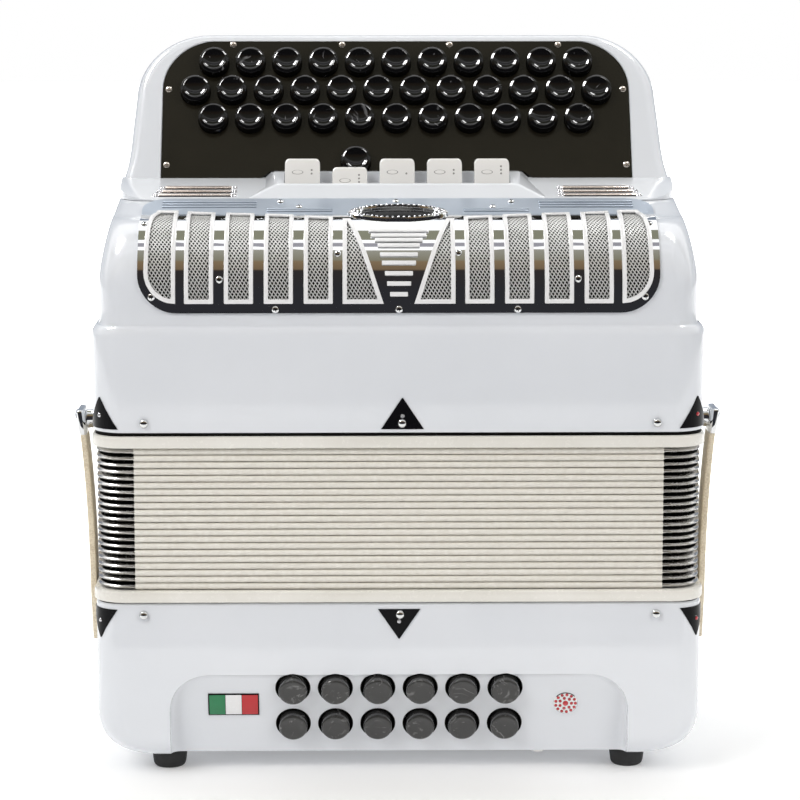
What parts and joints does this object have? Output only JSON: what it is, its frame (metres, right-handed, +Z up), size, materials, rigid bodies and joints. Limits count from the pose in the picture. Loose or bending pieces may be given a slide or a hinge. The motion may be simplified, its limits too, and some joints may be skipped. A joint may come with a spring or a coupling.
{
  "type": "button accordion",
  "caption": "Three-row button accordion standing on its bass end, bellows closed; button fingerboard with registers above a chrome grille, bass buttons below, opening bellows.",
  "frame": {"origin": "middle of the body's length and depth, on the floor under the rubber feet", "axes": "+X to the viewer's right along the instrument's length; -Y out of the grille side, +Y to the player's side; +Z up from the bass end through the bellows to the fingerboard"},
  "size_m": [0.3406, 0.1951, 0.393],
  "materials": {
    "white_lacquer": "white celluloid laid on wood, polished",
    "cream_frame": "cream celluloid on wood, polished",
    "reed_wood": "raw softwood",
    "hand_leather": "black strap leather",
    "black_rubber": "black rubber, matt",
    "bellows_cloth": "pleated card covered with cream cloth tape",
    "bass_pearl": "dark grey marbled plastic, polished",
    "ivory_plastic": "off-white moulded plastic",
    "strap_leather": "beige leather, semi-matt",
    "black_gloss": "black gloss plate",
    "chrome": "bright chromed sheet metal",
    "black_pearl": "black pearl plastic, polished"
  },
  "bodies": {
    "bass_section": {"bass_casing": "white_lacquer", "bass_bellows_frame": "cream_frame", "bass_reed_block": "reed_wood", "hand_strap": "hand_leather", "foot_front_left": "black_rubber", "foot_front_right": "black_rubber", "foot_rear_left": "black_rubber", "foot_rear_right": "black_rubber", "bellows": "bellows_cloth"},
    "treble_section": {"treble_casing": "white_lacquer", "fingerboard_case": "white_lacquer", "button_plate": "black_gloss", "grille_cover": "chrome", "treble_bellows_frame": "cream_frame", "treble_reed_block": "reed_wood"},
    "bass_row_1": {"bass_button_row_1": "bass_pearl"},
    "bass_row_2": {"bass_button_row_2": "bass_pearl"},
    "air_valve_button": {"air_button": "ivory_plastic"},
    "strap_left": {"bellows_strap_left": "strap_leather"},
    "strap_right": {"bellows_strap_right": "strap_leather"},
    "register_tab_1": {"register_1": "ivory_plastic"},
    "register_tab_2": {"register_2": "ivory_plastic"},
    "register_tab_3": {"register_3": "ivory_plastic"},
    "register_tab_4": {"register_4": "ivory_plastic"},
    "register_tab_5": {"register_5": "ivory_plastic"},
    "key_0_1": {"treble_button_0_1": "black_pearl"},
    "key_1_1": {"treble_button_1_1": "black_pearl"},
    "key_1_2": {"treble_button_1_2": "black_pearl"},
    "key_1_3": {"treble_button_1_3": "black_pearl"},
    "key_1_4": {"treble_button_1_4": "black_pearl"},
    "key_1_5": {"treble_button_1_5": "black_pearl"},
    "key_1_6": {"treble_button_1_6": "black_pearl"},
    "key_1_7": {"treble_button_1_7": "black_pearl"},
    "key_1_8": {"treble_button_1_8": "black_pearl"},
    "key_1_9": {"treble_button_1_9": "black_pearl"},
    "key_1_10": {"treble_button_1_10": "black_pearl"},
    "key_1_11": {"treble_button_1_11": "black_pearl"},
    "key_2_1": {"treble_button_2_1": "black_pearl"},
    "key_2_2": {"treble_button_2_2": "black_pearl"},
    "key_2_3": {"treble_button_2_3": "black_pearl"},
    "key_2_4": {"treble_button_2_4": "black_pearl"},
    "key_2_5": {"treble_button_2_5": "black_pearl"},
    "key_2_6": {"treble_button_2_6": "black_pearl"},
    "key_2_7": {"treble_button_2_7": "black_pearl"},
    "key_2_8": {"treble_button_2_8": "black_pearl"},
    "key_2_9": {"treble_button_2_9": "black_pearl"},
    "key_2_10": {"treble_button_2_10": "black_pearl"},
    "key_2_11": {"treble_button_2_11": "black_pearl"},
    "key_2_12": {"treble_button_2_12": "black_pearl"},
    "key_3_1": {"treble_button_3_1": "black_pearl"},
    "key_3_2": {"treble_button_3_2": "black_pearl"},
    "key_3_3": {"treble_button_3_3": "black_pearl"},
    "key_3_4": {"treble_button_3_4": "black_pearl"},
    "key_3_5": {"treble_button_3_5": "black_pearl"},
    "key_3_6": {"treble_button_3_6": "black_pearl"},
    "key_3_7": {"treble_button_3_7": "black_pearl"},
    "key_3_8": {"treble_button_3_8": "black_pearl"},
    "key_3_9": {"treble_button_3_9": "black_pearl"},
    "key_3_10": {"treble_button_3_10": "black_pearl"},
    "key_3_11": {"treble_button_3_11": "black_pearl"}
  },
  "joints": [
    {"name": "bellows_open", "type": "slide", "parent": "bass_section", "child": "treble_section", "axis": [0, 0, 1], "range_m": [0, 0.28], "deforming": ["bellows"]},
    {"name": "bass_row_1_press", "type": "slide", "parent": "bass_section", "child": "bass_row_1", "axis": [0, 0.9511, 0.309], "range_m": [0, 0.0035], "stiffness_N_per_m": 300, "springref_m": -0.002},
    {"name": "bass_row_2_press", "type": "slide", "parent": "bass_section", "child": "bass_row_2", "axis": [0, 0.9511, 0.309], "range_m": [0, 0.0035], "stiffness_N_per_m": 300, "springref_m": -0.002},
    {"name": "air_button_press", "type": "slide", "parent": "bass_section", "child": "air_valve_button", "axis": [0, 0, 1], "range_m": [0, 0.004], "stiffness_N_per_m": 150, "springref_m": -0.002},
    {"name": "strap_left_turn", "type": "hinge", "parent": "bass_section", "child": "strap_left", "pos_m": [-0.1601, -0.05, 0.0685], "axis": [0, -1, 0], "range_deg": [0, 100]},
    {"name": "strap_right_turn", "type": "hinge", "parent": "bass_section", "child": "strap_right", "pos_m": [0.1601, -0.05, 0.0685], "axis": [0, 1, 0], "range_deg": [0, 100]},
    {"name": "register_1_slide", "type": "slide", "parent": "treble_section", "child": "register_tab_1", "axis": [0, 0, -1], "range_m": [0, 0.0046]},
    {"name": "register_2_slide", "type": "slide", "parent": "treble_section", "child": "register_tab_2", "axis": [0, 0, -1], "range_m": [-0.0046, 0]},
    {"name": "register_3_slide", "type": "slide", "parent": "treble_section", "child": "register_tab_3", "axis": [0, 0, -1], "range_m": [0, 0.0046]},
    {"name": "register_4_slide", "type": "slide", "parent": "treble_section", "child": "register_tab_4", "axis": [0, 0, -1], "range_m": [0, 0.0046]},
    {"name": "register_5_slide", "type": "slide", "parent": "treble_section", "child": "register_tab_5", "axis": [0, 0, -1], "range_m": [0, 0.0046]},
    {"name": "key_0_1_press", "type": "slide", "parent": "treble_section", "child": "key_0_1", "axis": [0, 0.8572, -0.515], "range_m": [0, 0.004], "stiffness_N_per_m": 200, "springref_m": -0.002},
    {"name": "key_1_1_press", "type": "slide", "parent": "treble_section", "child": "key_1_1", "axis": [0, 0.8572, -0.515], "range_m": [0, 0.004], "stiffness_N_per_m": 200, "springref_m": -0.002},
    {"name": "key_1_2_press", "type": "slide", "parent": "treble_section", "child": "key_1_2", "axis": [0, 0.8572, -0.515], "range_m": [0, 0.004], "stiffness_N_per_m": 200, "springref_m": -0.002},
    {"name": "key_1_3_press", "type": "slide", "parent": "treble_section", "child": "key_1_3", "axis": [0, 0.8572, -0.515], "range_m": [0, 0.004], "stiffness_N_per_m": 200, "springref_m": -0.002},
    {"name": "key_1_4_press", "type": "slide", "parent": "treble_section", "child": "key_1_4", "axis": [0, 0.8572, -0.515], "range_m": [0, 0.004], "stiffness_N_per_m": 200, "springref_m": -0.002},
    {"name": "key_1_5_press", "type": "slide", "parent": "treble_section", "child": "key_1_5", "axis": [0, 0.8572, -0.515], "range_m": [0, 0.004], "stiffness_N_per_m": 200, "springref_m": -0.002},
    {"name": "key_1_6_press", "type": "slide", "parent": "treble_section", "child": "key_1_6", "axis": [0, 0.8572, -0.515], "range_m": [0, 0.004], "stiffness_N_per_m": 200, "springref_m": -0.002},
    {"name": "key_1_7_press", "type": "slide", "parent": "treble_section", "child": "key_1_7", "axis": [0, 0.8572, -0.515], "range_m": [0, 0.004], "stiffness_N_per_m": 200, "springref_m": -0.002},
    {"name": "key_1_8_press", "type": "slide", "parent": "treble_section", "child": "key_1_8", "axis": [0, 0.8572, -0.515], "range_m": [0, 0.004], "stiffness_N_per_m": 200, "springref_m": -0.002},
    {"name": "key_1_9_press", "type": "slide", "parent": "treble_section", "child": "key_1_9", "axis": [0, 0.8572, -0.515], "range_m": [0, 0.004], "stiffness_N_per_m": 200, "springref_m": -0.002},
    {"name": "key_1_10_press", "type": "slide", "parent": "treble_section", "child": "key_1_10", "axis": [0, 0.8572, -0.515], "range_m": [0, 0.004], "stiffness_N_per_m": 200, "springref_m": -0.002},
    {"name": "key_1_11_press", "type": "slide", "parent": "treble_section", "child": "key_1_11", "axis": [0, 0.8572, -0.515], "range_m": [0, 0.004], "stiffness_N_per_m": 200, "springref_m": -0.002},
    {"name": "key_2_1_press", "type": "slide", "parent": "treble_section", "child": "key_2_1", "axis": [0, 0.8572, -0.515], "range_m": [0, 0.004], "stiffness_N_per_m": 200, "springref_m": -0.002},
    {"name": "key_2_2_press", "type": "slide", "parent": "treble_section", "child": "key_2_2", "axis": [0, 0.8572, -0.515], "range_m": [0, 0.004], "stiffness_N_per_m": 200, "springref_m": -0.002},
    {"name": "key_2_3_press", "type": "slide", "parent": "treble_section", "child": "key_2_3", "axis": [0, 0.8572, -0.515], "range_m": [0, 0.004], "stiffness_N_per_m": 200, "springref_m": -0.002},
    {"name": "key_2_4_press", "type": "slide", "parent": "treble_section", "child": "key_2_4", "axis": [0, 0.8572, -0.515], "range_m": [0, 0.004], "stiffness_N_per_m": 200, "springref_m": -0.002},
    {"name": "key_2_5_press", "type": "slide", "parent": "treble_section", "child": "key_2_5", "axis": [0, 0.8572, -0.515], "range_m": [0, 0.004], "stiffness_N_per_m": 200, "springref_m": -0.002},
    {"name": "key_2_6_press", "type": "slide", "parent": "treble_section", "child": "key_2_6", "axis": [0, 0.8572, -0.515], "range_m": [0, 0.004], "stiffness_N_per_m": 200, "springref_m": -0.002},
    {"name": "key_2_7_press", "type": "slide", "parent": "treble_section", "child": "key_2_7", "axis": [0, 0.8572, -0.515], "range_m": [0, 0.004], "stiffness_N_per_m": 200, "springref_m": -0.002},
    {"name": "key_2_8_press", "type": "slide", "parent": "treble_section", "child": "key_2_8", "axis": [0, 0.8572, -0.515], "range_m": [0, 0.004], "stiffness_N_per_m": 200, "springref_m": -0.002},
    {"name": "key_2_9_press", "type": "slide", "parent": "treble_section", "child": "key_2_9", "axis": [0, 0.8572, -0.515], "range_m": [0, 0.004], "stiffness_N_per_m": 200, "springref_m": -0.002},
    {"name": "key_2_10_press", "type": "slide", "parent": "treble_section", "child": "key_2_10", "axis": [0, 0.8572, -0.515], "range_m": [0, 0.004], "stiffness_N_per_m": 200, "springref_m": -0.002},
    {"name": "key_2_11_press", "type": "slide", "parent": "treble_section", "child": "key_2_11", "axis": [0, 0.8572, -0.515], "range_m": [0, 0.004], "stiffness_N_per_m": 200, "springref_m": -0.002},
    {"name": "key_2_12_press", "type": "slide", "parent": "treble_section", "child": "key_2_12", "axis": [0, 0.8572, -0.515], "range_m": [0, 0.004], "stiffness_N_per_m": 200, "springref_m": -0.002},
    {"name": "key_3_1_press", "type": "slide", "parent": "treble_section", "child": "key_3_1", "axis": [0, 0.8572, -0.515], "range_m": [0, 0.004], "stiffness_N_per_m": 200, "springref_m": -0.002},
    {"name": "key_3_2_press", "type": "slide", "parent": "treble_section", "child": "key_3_2", "axis": [0, 0.8572, -0.515], "range_m": [0, 0.004], "stiffness_N_per_m": 200, "springref_m": -0.002},
    {"name": "key_3_3_press", "type": "slide", "parent": "treble_section", "child": "key_3_3", "axis": [0, 0.8572, -0.515], "range_m": [0, 0.004], "stiffness_N_per_m": 200, "springref_m": -0.002},
    {"name": "key_3_4_press", "type": "slide", "parent": "treble_section", "child": "key_3_4", "axis": [0, 0.8572, -0.515], "range_m": [0, 0.004], "stiffness_N_per_m": 200, "springref_m": -0.002},
    {"name": "key_3_5_press", "type": "slide", "parent": "treble_section", "child": "key_3_5", "axis": [0, 0.8572, -0.515], "range_m": [0, 0.004], "stiffness_N_per_m": 200, "springref_m": -0.002},
    {"name": "key_3_6_press", "type": "slide", "parent": "treble_section", "child": "key_3_6", "axis": [0, 0.8572, -0.515], "range_m": [0, 0.004], "stiffness_N_per_m": 200, "springref_m": -0.002},
    {"name": "key_3_7_press", "type": "slide", "parent": "treble_section", "child": "key_3_7", "axis": [0, 0.8572, -0.515], "range_m": [0, 0.004], "stiffness_N_per_m": 200, "springref_m": -0.002},
    {"name": "key_3_8_press", "type": "slide", "parent": "treble_section", "child": "key_3_8", "axis": [0, 0.8572, -0.515], "range_m": [0, 0.004], "stiffness_N_per_m": 200, "springref_m": -0.002},
    {"name": "key_3_9_press", "type": "slide", "parent": "treble_section", "child": "key_3_9", "axis": [0, 0.8572, -0.515], "range_m": [0, 0.004], "stiffness_N_per_m": 200, "springref_m": -0.002},
    {"name": "key_3_10_press", "type": "slide", "parent": "treble_section", "child": "key_3_10", "axis": [0, 0.8572, -0.515], "range_m": [0, 0.004], "stiffness_N_per_m": 200, "springref_m": -0.002},
    {"name": "key_3_11_press", "type": "slide", "parent": "treble_section", "child": "key_3_11", "axis": [0, 0.8572, -0.515], "range_m": [0, 0.004], "stiffness_N_per_m": 200, "springref_m": -0.002}
  ]
}
